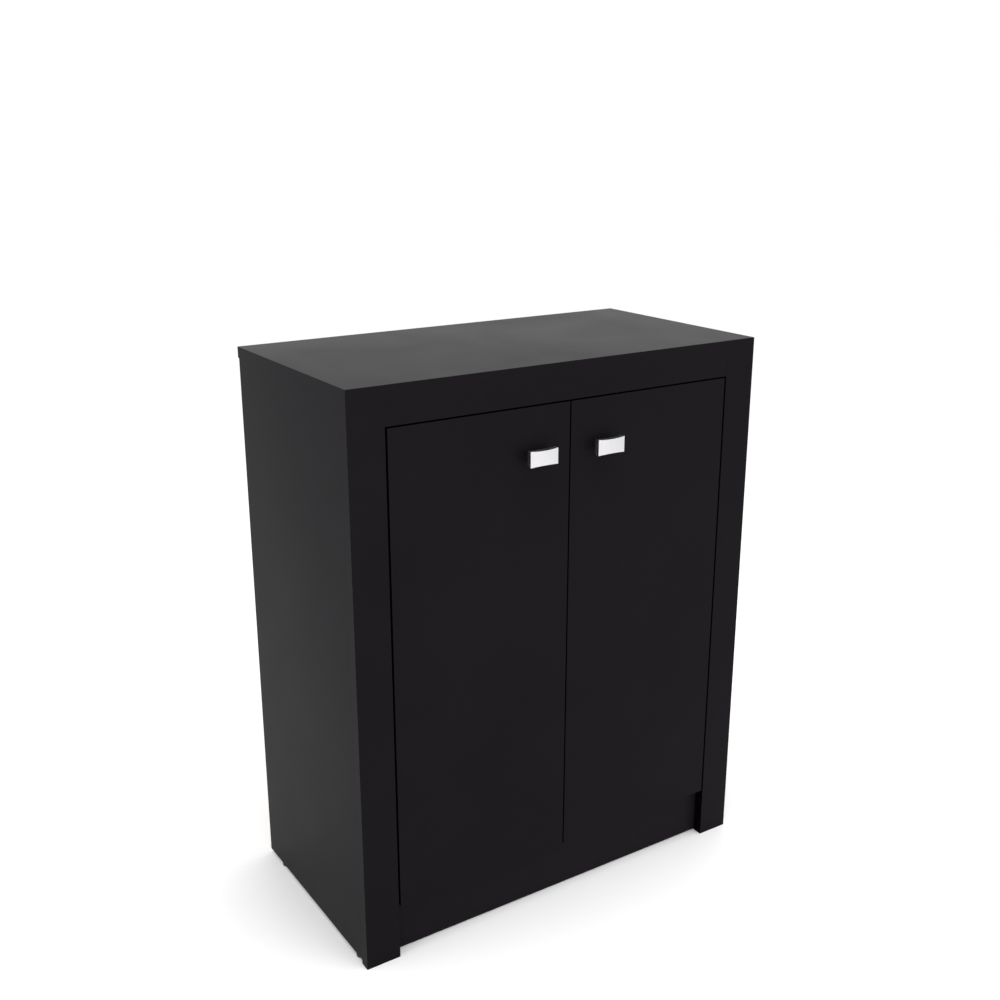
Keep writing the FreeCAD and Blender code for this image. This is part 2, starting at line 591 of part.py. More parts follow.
HINGE_LEVELS = {"lower": "door_bottom + hinge_inset", "upper": f"{DOOR_TOP} - hinge_inset"}
CUP_FACE = from_front("door_board")
for side, sign in SIDES.items():
    door, stile = f"door_panel_{side}", f"hinge_stile_{side}"
    stile_face = "right" if side == "left" else "left"
    cups, cup_screws, arms, arm_pins, plates, plate_screws, arm_screws = ([] for _ in range(7))
    for level, height in HINGE_LEVELS.items():
        tag = f"{side}_{level}"
        centre = at_out(side, "cup_out")
        bore(door, "rear", (centre, CUP_FACE, height), "cup_radius", "cup_depth")
        shell = fuse(f"cup_body_{tag}", [
            rod(f"cup_wall_{tag}", (centre, f"{CUP_FACE} - cup_depth", height), "y", "cup_radius",
                "cup_depth"),
            rod(f"cup_rim_{tag}", (centre, CUP_FACE, height), "y", "rim_radius", "flange_thick"),
            box(f"cup_flange_{tag}",
                (f"{centre} - flange_width / 2", CUP_FACE, f"{height} - flange_height / 2"),
                ("flange_width", "flange_thick", "flange_height"))])
        hollow = [rod(f"cup_hollow_{tag}", (centre, f"{CUP_FACE} - cup_depth + cup_wall", height), "y",
                      "cup_radius - cup_wall", "cup_depth - cup_wall + flange_thick")]
        for end in (-1, 1):
            spot = (centre, CUP_FACE, f"{height} + {end} * cup_screw_offset")
            bore(door, "rear", spot, "hinge_screw_radius", "hinge_screw_length - flange_thick")
            hollow.append(rod(f"flange_hole_{tag}_{end}", spot, "y", "hinge_screw_radius", "flange_thick"))
            shank = rod(f"cup_shank_{tag}_{end}", add(spot, "flange_thick - hinge_screw_length", "y"), "y",
                        "hinge_screw_radius", "hinge_screw_length")
            head = rod(f"cup_head_{tag}_{end}", add(spot, "flange_thick", "y"), "y", "hinge_screw_head",
                       "hinge_screw_head_depth")
            cup_screws.append(fuse(f"cup_screw_{tag}_{end}", [shank, head]))
        cups.append(cut(f"cup_{tag}", shell, hollow))

        pin_spot = (at_out(side, "arm_pin_out"), from_front("arm_pin_back"), f"{height} - arm_height / 2")
        cheeks = []
        for end, lift in (("under", "0"), ("over", "arm_height - arm_skin")):
            low = f"{height} - arm_height / 2 + {lift}"
            cheeks += [
                rod(f"cheek_nose_{tag}_{end}", (pin_spot[0], pin_spot[1], low), "z", "arm_nose", "arm_skin"),
                box(f"cheek_neck_{tag}_{end}",
                    (out(side, "arm_pin_out - arm_nose", "arm_pin_out + arm_nose"), pin_spot[1], low),
                    ("2 * arm_nose", "arm_web_front - arm_pin_back", "arm_skin")),
                box(f"cheek_{tag}_{end}",
                    (out(side, "arm_root", "arm_web_out"), from_front("arm_web_front"), low),
                    ("arm_web_out - arm_root", "arm_rear - arm_web_front", "arm_skin"))]
        web_out = out(side, "arm_web_out", "arm_web_out + arm_skin")
        web = box(f"arm_web_{tag}", (web_out, from_front("arm_web_front"), pin_spot[2]),
                  ("arm_skin", "arm_rear - arm_web_front", "arm_height"))
        web_screw = (web_out, from_front("arm_screw_back"), height)
        arms.append(cut(f"arm_{tag}", fuse(f"arm_body_{tag}", cheeks + [web]), [
            rod(f"arm_pin_hole_{tag}", pin_spot, "z", "arm_pin_radius", "arm_height"),
            rod(f"arm_screw_hole_{tag}", web_screw, "x", "arm_screw_radius", "arm_skin")]))
        arm_pins.append(rod(f"arm_pin_{tag}", pin_spot, "z", "arm_pin_radius", "arm_height"))

        rib_bore = "arm_web_out - plate_thick - rib_floor"
        arm_bore = (out(side, f"arm_web_out - ({rib_bore})", "arm_web_out"), web_screw[1], height)
        plate_holes = [rod(f"rib_hole_{tag}", arm_bore, "x", "arm_screw_radius", rib_bore)]
        for end in (-1, 1):
            level_z = f"{height} + {end} * plate_screw_offset"
            spot = ("0", from_front("plate_wing_back"), level_z)
            bore(stile, stile_face, spot, "hinge_screw_radius", "hinge_screw_length - plate_thick")
            plate_holes.append(rod(f"plate_hole_{tag}_{end}", (out(side, "0", "plate_thick"), *spot[1:]), "x",
                                   "hinge_screw_radius", "plate_thick"))
            shank_x = out(side, "plate_thick - hinge_screw_length", "plate_thick")
            head_x = out(side, "plate_thick", "plate_thick + hinge_screw_head_depth")
            plate_screws.append(fuse(f"plate_screw_{tag}_{end}", [
                rod(f"plate_shank_{tag}_{end}", (shank_x, *spot[1:]), "x", "hinge_screw_radius",
                    "hinge_screw_length"),
                rod(f"plate_head_{tag}_{end}", (head_x, *spot[1:]), "x", "hinge_screw_head",
                    "hinge_screw_head_depth")]))
        plates.append(cut(f"plate_{tag}", fuse(f"plate_body_{tag}", [
            box(f"plate_base_{tag}",
                (out(side, "0", "plate_thick"), from_front("plate_front"), f"{height} - plate_width / 2"),
                ("plate_thick", "plate_rear - plate_front", "plate_width")),
            box(f"plate_wings_{tag}",
                (out(side, "0", "plate_thick"), from_front("plate_wing_back - plate_wing_depth / 2"),
                 f"{height} - plate_wing / 2"),
                ("plate_thick", "plate_wing_depth", "plate_wing")),
            box(f"plate_rib_{tag}",
                (out(side, "plate_thick", "arm_web_out"), from_front("rib_front"),
                 f"{height} - rib_height / 2"),
                ("arm_web_out - plate_thick", "rib_rear - rib_front", "rib_height"))]), plate_holes))
        screw_tail = (out(side, f"arm_web_out - ({rib_bore})", "arm_web_out + arm_skin"),
                      from_front("arm_screw_back"), height)
        screw_top = (out(side, "arm_web_out + arm_skin", "arm_web_out + arm_skin + arm_screw_head_depth"),
                     from_front("arm_screw_back"), height)
        arm_screws.append(fuse(f"arm_screw_{tag}", [
            rod(f"arm_screw_shank_{tag}", screw_tail, "x", "arm_screw_radius", f"{rib_bore} + arm_skin"),
            rod(f"arm_screw_head_{tag}", screw_top, "x", "arm_screw_head", "arm_screw_head_depth")]))

    for name, pieces in (("hinge_cups", cups), ("hinge_cup_screws", cup_screws), ("hinge_arms", arms),
                         ("hinge_arm_pins", arm_pins), ("hinge_plates", plates),
                         ("hinge_plate_screws", plate_screws), ("hinge_arm_screws", arm_screws)):
        group(f"{name}_{side}", pieces)

drill_boards()
for side in SIDES:
    links = doc.addObject("Part::Feature", f"hinge_links_{side}")
    links.Shape = link_shape(side)
    links.Placement = FreeCAD.Placement()
    links.Label = f"hinge_links_{side}"
    solids[f"hinge_links_{side}"] = links

# ---- check everything, then write one file for each sub-part

doc.recompute()
failed = [item.Label for item in doc.Objects if {"Invalid", "Error"} & set(item.State)]
failed += [label for label, item in solids.items() if item.Shape.isNull() or not item.Shape.isValid()]
if failed:
    raise RuntimeError("failed: " + ", ".join(failed))
os.makedirs("parts", exist_ok=True)
for label, item in solids.items():
    item.Shape.exportStep(f"parts/{label}.step")
    print(f"{label}: {len(item.Shape.Solids)} solids, {item.Shape.Volume / 1000:.1f} cm3")
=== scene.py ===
import math

import bpy
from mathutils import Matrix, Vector


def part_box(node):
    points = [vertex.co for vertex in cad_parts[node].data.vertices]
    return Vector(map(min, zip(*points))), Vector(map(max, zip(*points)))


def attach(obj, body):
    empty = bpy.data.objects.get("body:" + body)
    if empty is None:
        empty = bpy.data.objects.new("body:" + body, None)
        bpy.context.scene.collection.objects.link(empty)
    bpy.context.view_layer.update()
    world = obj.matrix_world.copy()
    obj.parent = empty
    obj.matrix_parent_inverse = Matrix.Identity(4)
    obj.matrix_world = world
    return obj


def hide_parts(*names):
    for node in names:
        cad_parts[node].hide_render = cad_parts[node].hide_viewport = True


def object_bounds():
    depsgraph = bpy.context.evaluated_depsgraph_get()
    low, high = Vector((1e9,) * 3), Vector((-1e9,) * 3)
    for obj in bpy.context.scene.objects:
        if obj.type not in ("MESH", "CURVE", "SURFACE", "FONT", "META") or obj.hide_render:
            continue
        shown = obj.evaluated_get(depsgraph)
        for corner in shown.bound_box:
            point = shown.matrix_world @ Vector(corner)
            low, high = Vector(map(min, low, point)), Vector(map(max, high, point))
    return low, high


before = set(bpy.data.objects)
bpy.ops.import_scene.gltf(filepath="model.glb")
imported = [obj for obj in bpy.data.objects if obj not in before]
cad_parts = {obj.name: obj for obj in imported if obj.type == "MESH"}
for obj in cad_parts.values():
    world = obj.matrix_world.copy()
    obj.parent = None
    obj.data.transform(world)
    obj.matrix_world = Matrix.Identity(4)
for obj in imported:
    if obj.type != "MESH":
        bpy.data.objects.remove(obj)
cad_low, cad_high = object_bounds()

# The shoe cabinet in metres: +Z up, front towards -Y. Every piece takes its place from the frame's boxes.

# ---- sizes that the frame's boxes don't give

NEAR = 0.00001              # two places closer than this count as one
SQUARE_ON = 0.9             # a face whose normal reaches this far along an axis faces that way
EDGE_ROUND = 0.00018        # broken corner of a faced board
HANDLE_BAR = 0.0105         # thickness of a handle's bar
HANDLE_WAIST = 0.0013       # taken off the bar's half height at its middle
HANDLE_BOW = 0.0018         # how far the bar's face falls back towards its ends
HANDLE_STATIONS = 16        # lengths that the bar's curves are divided into
HANDLE_PITCH = 0.016        # between the middles of a handle's two legs
LEG_RADIUS = 0.004
LEG_COLLAR = 0.0015         # length of the flared foot of a leg
LEG_FLARE = 1.25            # the foot's radius over the leg's
PIN_RADIUS = 0.0025
PIN_STEP = 0.032            # between the holes of a row
PIN_HOLE_DEPTH = 0.010
PIN_REACH = 0.008           # how far a pin stands out of its side panel
PIN_GROOVE = (0.0060, 0.0064, 0.0072, 0.0076)   # rings of a pin's neck, measured from its nose
PIN_NECK = 0.86             # the neck's radius over the pin's
GLIDE_RADIUS = 0.0085
GLIDE_RIM = 0.0025          # width of the ring that stands on the floor
GLIDE_SLOPE = 0.0008        # how far the wall of the hollow underside leans in
GLIDE_HOLLOW = 0.0012       # depth of the hollow
BUMPER_RADIUS = 0.004
BUMPER_DOME = 0.0010
CUP_RADIUS = 0.0175
CUP_DEPTH = 0.0115
CUP_FLANGE_REACH = 0.027    # from a hinge cup's middle to the end of its flange
SMALL_HEAD = 0.0035         # radius of the hinge screws' heads
SCREW_HEAD = 0.004
ARM_HEAD = 0.0045
CAM_HEAD = 0.0075
HEAD_SPAN = 2.02            # points of one head are nearer to each other than this many of its radii
RECESS_REACH = 0.6          # half the length of a cross recess, over its head's radius
RECESS_SLIMNESS = 6         # length of a cross recess over its width
RECESS_DEPTH = 0.001
ROUNDS = {                  # how far the edges of the small pieces are rounded
    "handle_bar": 0.0004, "handle_leg": 0.0005, "shelf_pins": 0.0005, "floor_glides": 0.0006,
    "screws": 0.0004, "hinge_cups": 0.0002, "hinge_arms": 0.0003, "hinge_plates": 0.0004,
    "hinge_links": 0.0003, "hinge_arm_pins": 0.0003, "dowels": 0.001, "cam_bolts": 0.0005,
    "back_panel": 0.0004, "back_joining_strip": 0.0003, "back_nails": 0.0004,
}
LEFT_AND_RIGHT = {"left": -1, "right": 1}
BOARDS = [
    "top_panel", "side_panel_left", "side_panel_right", "front_post_left", "front_post_right", "top_rail",
    "front_stretcher", "hinge_stile_left", "hinge_stile_right", "kick_board", "rear_base_rail",
    "bottom_panel", "fixed_shelf", "shelf_lower", "shelf_middle", "shelf_upper",
    "door_panel_left", "door_panel_right",
]
# the faces of these boards on the door gaps, and all door edges, get a near-black band of painted shade
GAP_SHADE_BOARDS = ["front_post_left", "front_post_right", "top_rail"]   # they line the gaps round the doors
LOOSE_SHELVES = ["shelf_lower", "shelf_middle", "shelf_upper"]


# ---- modelling helpers, each doing what a hand would do in the window

def choose(*pieces):
    """Leave only these pieces selected, the first one active."""
    bpy.ops.object.select_all(action="DESELECT")
    for piece in pieces:
        piece.select_set(True)
    bpy.context.view_layer.objects.active = pieces[0]


def settle(piece):
    """Move a piece's place into its mesh."""
    choose(piece)
    bpy.ops.object.transform_apply(location=True, rotation=True, scale=True)
    return piece


def block(name, low, high):
    """A cube stretched between two corners."""
    bpy.ops.object.select_all(action="DESELECT")
    bpy.ops.mesh.primitive_cube_add(size=1, location=(Vector(low) + Vector(high)) / 2)
    piece = bpy.context.object
    piece.name = piece.data.name = name
    piece.scale = Vector(high) - Vector(low)
    return settle(piece)


TURNS = {"x": (0, math.pi / 2, 0), "y": (math.pi / 2, 0, 0), "z": (0, 0, 0)}   # lays a bar along each axis


def turned(name, centre, axis, radius, length, sides=40):
    """A round bar along one axis, about its centre."""
    bpy.ops.object.select_all(action="DESELECT")
    bpy.ops.mesh.primitive_cylinder_add(vertices=sides, radius=radius, depth=length, location=centre,
                                        rotation=TURNS[axis])
    piece = bpy.context.object
    piece.name = piece.data.name = name
    return settle(piece)


def apply_modifier(piece, kind, **settings):
    """Add a modifier with these settings and apply it at once."""
    choose(piece)
    modifier = piece.modifiers.new(kind.lower(), kind)
    for key, setting in settings.items():
        setattr(modifier, key, setting)
    bpy.ops.object.modifier_apply(modifier=modifier.name)


def soften(piece, width, segments=3, angle=35):
    """Round the piece's sharp edges and shade it so that flat faces stay flat."""
    apply_modifier(piece, "BEVEL", width=width, segments=segments, limit_method="ANGLE",
                   angle_limit=math.radians(angle), use_clamp_overlap=True)
    shade(piece)


def shade(piece):
    """Shade the piece smooth across its small rounds and flat elsewhere."""
    choose(piece)
    bpy.ops.object.shade_smooth_by_angle(angle=math.radians(40))
    apply_modifier(piece, "WEIGHTED_NORMAL", mode="FACE_AREA", keep_sharp=True)


def pick_vertices(piece, test):
    """Enter edit mode with only the vertices that pass the test selected."""
    choose(piece)
    bpy.ops.object.mode_set(mode="EDIT")
    bpy.ops.mesh.select_mode(type="VERT")
    bpy.ops.mesh.select_all(action="DESELECT")
    bpy.ops.object.mode_set(mode="OBJECT")
    for vertex in piece.data.vertices:
        vertex.select = bool(test(vertex.co))
    bpy.ops.object.mode_set(mode="EDIT")


def pick_faces(piece, test):
    """Select only the faces that pass the test, and stay in object mode."""
    choose(piece)
    bpy.ops.object.mode_set(mode="EDIT")
    bpy.ops.mesh.select_mode(type="FACE")
    bpy.ops.mesh.select_all(action="DESELECT")
    bpy.ops.object.mode_set(mode="OBJECT")
    for face in piece.data.polygons:
        face.select = bool(test(face))


def join(name, pieces):
    """Make one piece of several."""
    choose(*pieces)
    if len(pieces) > 1:
        bpy.ops.object.join()
    piece = bpy.context.object
    piece.name = piece.data.name = name
    return piece


def carve(piece, cutters):
    """Cut closed shapes out of a piece."""
    cutter = join("cutter", cutters)
    apply_modifier(piece, "BOOLEAN", operation="DIFFERENCE", solver="EXACT", object=cutter)
    bpy.data.objects.remove(cutter)


def repeat(piece, places):
    """The piece, which stands at the first place, and a copy with its own mesh at each of the others."""
    family = [piece]
    for number, place in enumerate(places[1:], 2):
        copied = piece.copy()
        copied.data = piece.data.copy()
        bpy.context.scene.collection.objects.link(copied)
        copied.name = copied.data.name = f"{piece.name}_{number}"
        copied.location = Vector(place) - Vector(places[0])
        family.append(settle(copied))
    return family


def dress(pieces, body, material, node):
    """Give finished pieces their material and body, and have them stand for a sub-part of the frame."""
    for piece in pieces:
        if not piece.data.materials:
            piece.data.materials.append(material)
        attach(piece, body)
        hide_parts(node)


# ---- shader groups: each is built once and used by several materials

def new_group(name, inputs, outputs):
    """An empty node group with named float inputs and outputs."""
    group = bpy.data.node_groups.new(name, "ShaderNodeTree")
    for label, start in inputs.items():
        socket = group.interface.new_socket(name=label, in_out="INPUT", socket_type="NodeSocketFloat")
        socket.default_value = start
    for label in outputs:
        group.interface.new_socket(name=label, in_out="OUTPUT", socket_type="NodeSocketFloat")
    return group, group.nodes.new("NodeGroupInput"), group.nodes.new("NodeGroupOutput")


def add_node(tree, kind, inputs=(), **settings):
    """Add a node, set its properties, and set or link its inputs."""
    node = tree.nodes.new("ShaderNode" + kind)
    for key, setting in settings.items():
        setattr(node, key, setting)
    for key, source in dict(inputs).items():
        if isinstance(source, bpy.types.NodeSocket):
            tree.links.new(source, node.inputs[key])
        else:
            node.inputs[key].default_value = source
    return node


def math_node(tree, operation, first, second=0.0, clamp=False):
    """One sum of two numbers or sockets, as a socket."""
    node = add_node(tree, "Math", {0: first, 1: second}, operation=operation, use_clamp=clamp)
    return node.outputs[0]


def build_pebble():
    """Fine pressed texture of a laminate or moulded surface, as a height."""
    group, entry, leave = new_group("pebble_texture", {"Scale": 900.0, "Roughness": 0.5}, ["Height"])
    place = add_node(group, "TexCoord").outputs["Object"]
    cells = add_node(group, "TexVoronoi", {"Vector": place, "Scale": entry.outputs["Scale"]},
                     feature="SMOOTH_F1")
    noise = add_node(group, "TexNoise", {"Vector": place, "Scale": entry.outputs["Scale"], "Detail": 3.0,
                                         "Roughness": entry.outputs["Roughness"]})
    total = math_node(group, "ADD", cells.outputs["Distance"], noise.outputs["Fac"])
    group.links.new(total, leave.inputs["Height"])
    return group


def build_gloss():
    """Roughness that drifts between two values in soft patches, as handling and cleaning leave it."""
    group, entry, leave = new_group("patchy_gloss", {"Low": 0.3, "High": 0.4, "Scale": 6.0}, ["Roughness"])
    place = add_node(group, "TexCoord").outputs["Object"]
    broad = add_node(group, "TexNoise", {"Vector": place, "Scale": entry.outputs["Scale"], "Detail": 4.0,
                                         "Roughness": 0.55, "Distortion": 0.6})
    ramp = add_node(group, "MapRange", {"Value": broad.outputs["Fac"], "From Min": 0.3, "From Max": 0.7,
                                        "To Min": entry.outputs["Low"], "To Max": entry.outputs["High"]})
    group.links.new(ramp.outputs["Result"], leave.inputs["Roughness"])
    return group


def build_edges():
    """A mask of the corners, broken up by noise, where a finish rubs first."""
    group, entry, leave = new_group("rubbed_edges", {"Width": 0.0008, "Amount": 0.5}, ["Mask"])
    rounded = add_node(group, "Bevel", {"Radius": entry.outputs["Width"]}, samples=4)
    flat = add_node(group, "NewGeometry")
    turn = add_node(group, "VectorMath", {0: rounded.outputs["Normal"], 1: flat.outputs["Normal"]},
                    operation="DOT_PRODUCT")
    bend = math_node(group, "SUBTRACT", 1.0, turn.outputs["Value"])
    place = add_node(group, "TexCoord").outputs["Object"]
    noise = add_node(group, "TexNoise", {"Vector": place, "Scale": 60.0, "Detail": 5.0})
    broken = add_node(group, "MapRange", {"Value": noise.outputs["Fac"], "From Min": 0.42, "From Max": 0.62})
    strong = math_node(group, "MULTIPLY", bend, 6.0, clamp=True)
    worn = math_node(group, "MULTIPLY", strong, broken.outputs["Result"])
    scaled = math_node(group, "MULTIPLY", worn, entry.outputs["Amount"], clamp=True)
    group.links.new(scaled, leave.inputs["Mask"])
    return group


def build_specks():
    """Sparse small specks, such as settled dust or fibres pressed into a sheet."""
    group, entry, leave = new_group("specks", {"Scale": 400.0, "Amount": 0.1}, ["Mask"])
    place = add_node(group, "TexCoord").outputs["Object"]
    cells = add_node(group, "TexVoronoi", {"Vector": place, "Scale": entry.outputs["Scale"]})
    near = add_node(group, "MapRange", {"Value": cells.outputs["Distance"], "From Min": 0.22,
                                        "From Max": 0.10})
    patch = add_node(group, "TexNoise", {"Vector": place, "Scale": 14.0, "Detail": 3.0})
    where = add_node(group, "MapRange", {"Value": patch.outputs["Fac"], "From Min": 0.45, "From Max": 0.75})
    both = math_node(group, "MULTIPLY", near.outputs["Result"], where.outputs["Result"])
    scaled = math_node(group, "MULTIPLY", both, entry.outputs["Amount"], clamp=True)
    group.links.new(scaled, leave.inputs["Mask"])
    return group


def build_drawn():
    """Fine lines along one axis, as rolling and drawing leave on metal or as fibres lie in wood."""
    group, entry, leave = new_group("drawn_lines", {"Across": 900.0, "Along": 40.0}, ["Height"])
    place = add_node(group, "TexCoord").outputs["Object"]
    size = add_node(group, "CombineXYZ", {"X": entry.outputs["Across"], "Y": entry.outputs["Across"],
                                          "Z": entry.outputs["Along"]})
    stretched = add_node(group, "VectorMath", {0: place, 1: size.outputs["Vector"]}, operation="MULTIPLY")
    noise = add_node(group, "TexNoise", {"Vector": stretched.outputs["Vector"], "Scale": 1.0, "Detail": 4.0})
    group.links.new(noise.outputs["Fac"], leave.inputs["Height"])
    return group


PEBBLE, GLOSS, EDGES = build_pebble(), build_gloss(), build_edges()
SPECKS, DRAWN = build_specks(), build_drawn()


# ---- materials

def start_material(name, **sockets):
    """A new material with its Principled shader; uniform values go straight on the shader's sockets."""
    material = bpy.data.materials.new(name)
    material.use_nodes = True
    shader = next(node for node in material.node_tree.nodes if node.type == "BSDF_PRINCIPLED")
    for key, setting in sockets.items():
        shader.inputs[key.replace("_", " ")].default_value = setting
    return material, material.node_tree, shader


def use_group(tree, group, **inputs):
    """Place a shader group in a material with its own values, and give the group's output."""
    node = tree.nodes.new("ShaderNodeGroup")
    node.node_tree = group
    for key, setting in inputs.items():
        node.inputs[key].default_value = setting
    return node.outputs[0]


def mix_colours(tree, mask, first, second):
    """Blend two colours, or a socket and a colour, by a mask."""
    node = add_node(tree, "Mix", data_type="RGBA")
    tree.links.new(mask, node.inputs[0])
    for socket, colour in ((node.inputs[6], first), (node.inputs[7], second)):
        if isinstance(colour, bpy.types.NodeSocket):
            tree.links.new(colour, socket)
        else:
            socket.default_value = (*colour, 1)
    return node.outputs[2]


def add_bump(tree, shader, height, strength, distance):
    """Let a height stand out of the surface."""
    bump = add_node(tree, "Bump", {"Height": height, "Strength": strength, "Distance": distance})
    tree.links.new(bump.outputs["Normal"], shader.inputs["Normal"])


def laminate(name, colour, worn, gloss, pebble, bump, index):
    """Black melamine facing or edge band: pressed texture, uneven sheen, faint dust and rubbed corners."""
    material, tree, shader = start_material(name, IOR=index)
    place = add_node(tree, "TexCoord").outputs["Object"]
    tint = add_node(tree, "TexNoise", {"Vector": place, "Scale": 3.5, "Detail": 5.0})
    patch = mix_colours(tree, tint.outputs["Fac"], colour, [part * 1.5 for part in colour])
    dusty = mix_colours(tree, use_group(tree, SPECKS, Scale=520.0, Amount=0.035), patch, (0.20, 0.19, 0.18))
    edged = mix_colours(tree, use_group(tree, EDGES, Width=0.0005, Amount=0.35), dusty, worn)
    tree.links.new(edged, shader.inputs["Base Color"])
    sheen = use_group(tree, GLOSS, Low=gloss[0], High=gloss[1], Scale=5.0)
    tree.links.new(sheen, shader.inputs["Roughness"])
    add_bump(tree, shader, use_group(tree, PEBBLE, Scale=pebble, Roughness=0.6), bump, 0.0004)
    return material


def hardboard():
    """Brown hardboard with pressed fibres and darker flecks."""
    material, tree, shader = start_material("raw_hardboard", Specular_IOR_Level=0.35)
    place = add_node(tree, "TexCoord").outputs["Object"]
    fibre = add_node(tree, "TexNoise", {"Vector": place, "Scale": 260.0, "Detail": 8.0, "Distortion": 1.4})
    cloud = add_node(tree, "TexNoise", {"Vector": place, "Scale": 9.0, "Detail": 4.0})
    base = mix_colours(tree, cloud.outputs["Fac"], (0.20, 0.105, 0.052), (0.31, 0.175, 0.092))
    streaked = mix_colours(tree, fibre.outputs["Fac"], base, (0.16, 0.08, 0.04))
    flecks = use_group(tree, SPECKS, Scale=330.0, Amount=0.8)
    flecked = mix_colours(tree, flecks, streaked, (0.06, 0.03, 0.016))
    tree.links.new(flecked, shader.inputs["Base Color"])
    tree.links.new(use_group(tree, GLOSS, Low=0.42, High=0.6, Scale=12.0), shader.inputs["Roughness"])
    add_bump(tree, shader, fibre.outputs["Fac"], 0.35, 0.0003)
    return material


def metal(name, colour, gloss, lines, bump):
    """Plated steel: faint drawn lines, patches of duller and brighter plate, duller corners."""
    material, tree, shader = start_material(name, Metallic=1.0)
    worn = mix_colours(tree, use_group(tree, EDGES, Width=0.0006, Amount=0.5), colour,
                       [part * 0.7 for part in colour])
    tree.links.new(worn, shader.inputs["Base Color"])
    sheen = use_group(tree, GLOSS, Low=gloss[0], High=gloss[1], Scale=40.0)
    tree.links.new(sheen, shader.inputs["Roughness"])
    add_bump(tree, shader, use_group(tree, DRAWN, Across=lines, Along=lines / 20), bump, 0.0002)
    return material


def plastic(name, colour, gloss, **sockets):
    """Moulded plastic or rubber with a fine spark-eroded texture."""
    material, tree, shader = start_material(name, **sockets)
    dusty = mix_colours(tree, use_group(tree, SPECKS, Scale=700.0, Amount=0.08), colour,
                        [min(1, part + 0.2) for part in colour])
    tree.links.new(dusty, shader.inputs["Base Color"])
    sheen = use_group(tree, GLOSS, Low=gloss[0], High=gloss[1], Scale=30.0)
    tree.links.new(sheen, shader.inputs["Roughness"])
    add_bump(tree, shader, use_group(tree, PEBBLE, Scale=1800.0, Roughness=0.5), 0.25, 0.0003)
    return material


def beech():
    """Pale beech for the dowels."""
    material, tree, shader = start_material("beech", Specular_IOR_Level=0.3)
    grain = use_group(tree, DRAWN, Across=700.0, Along=30.0)
    wood = mix_colours(tree, grain, (0.66, 0.47, 0.29), (0.47, 0.30, 0.16))
    tree.links.new(wood, shader.inputs["Base Color"])
    tree.links.new(use_group(tree, GLOSS, Low=0.5, High=0.7, Scale=30.0), shader.inputs["Roughness"])
    add_bump(tree, shader, grain, 0.3, 0.0002)
    return material


FACING = laminate("black_facing", colour=(0.0060, 0.0052, 0.0063), worn=(0.020, 0.019, 0.020),
                  gloss=(0.28, 0.33), pebble=1500.0, bump=0.05, index=1.08)
BAND = laminate("black_edge_band", colour=(0.0061, 0.0053, 0.0064), worn=(0.022, 0.021, 0.022),
                gloss=(0.27, 0.31), pebble=2200.0, bump=0.03, index=1.08)
# Painted shade: a near-black, rougher copy of the edge band for the faces lining the gaps round the doors,
# standing in for the shade inside the gaps.
GAP_SHADE_BAND = laminate("painted_gap_shade_band", colour=(0.0014, 0.0013, 0.0015), worn=(0.016, 0.015, 0.016),
                    gloss=(0.55, 0.65), pebble=1500.0, bump=0.05, index=1.04)
# Painted light: a lighter copy of the black facing for the kick board, making up for the shade of its recess
# below the doors.
KICK_PAINTED_LIGHT_FACING = laminate("kick_facing_painted_lighter", colour=(0.0076, 0.0064, 0.0079), worn=(0.024, 0.023, 0.024),
                       gloss=(0.30, 0.36), pebble=1500.0, bump=0.05, index=1.08)
HARDBOARD = hardboard()
CHROME = metal("satin_chrome", (0.640, 0.632, 0.648), gloss=(0.27, 0.34), lines=900.0, bump=0.02)
NICKEL = metal("nickel_plating", (0.58, 0.56, 0.53), gloss=(0.16, 0.28), lines=1500.0, bump=0.05)
ZINC = metal("zinc_plating", (0.60, 0.61, 0.64), gloss=(0.24, 0.40), lines=1200.0, bump=0.08)
BEECH = beech()
BLACK_PLASTIC = plastic("moulded_plastic", (0.018, 0.018, 0.019), gloss=(0.42, 0.55))
CLEAR_BUMPER = plastic("clear_bumper", (0.55, 0.55, 0.53), gloss=(0.18, 0.30), Transmission_Weight=0.6)


# ---- camera, floor and studio light

CAMERA_AZIMUTH = math.radians(-33.03)
CAMERA_ELEVATION = math.radians(17.52)
CAMERA_PLACE = Vector((-1.0574, -1.6106, 1.2670))
CAMERA_LENS = 43.24
FLOOR_RADIUS = 300
SKY_STRENGTH = 1.05


def set_camera():
    """The view from the front left, a little above the cabinet's top."""
    data = bpy.data.cameras.new("camera")
    data.sensor_width = 36
    data.lens = CAMERA_LENS
    camera = bpy.data.objects.new("camera", data)
    camera.location = CAMERA_PLACE
    camera.rotation_euler = (math.pi / 2 - CAMERA_ELEVATION, 0, CAMERA_AZIMUTH)
    bpy.context.scene.collection.objects.link(camera)
    bpy.context.scene.camera = camera


def softbox(name, place, aim, width, height, power):
    """A rectangular studio light that points at a spot."""
    data = bpy.data.lights.new(name, "AREA")
    data.shape = "RECTANGLE"
    data.size, data.size_y, data.energy = width, height, power
    light = bpy.data.objects.new(name, data)
    light.location = place
    light.rotation_euler = (Vector(aim) - Vector(place)).to_track_quat("-Z", "Y").to_euler()
    bpy.context.scene.collection.objects.link(light)


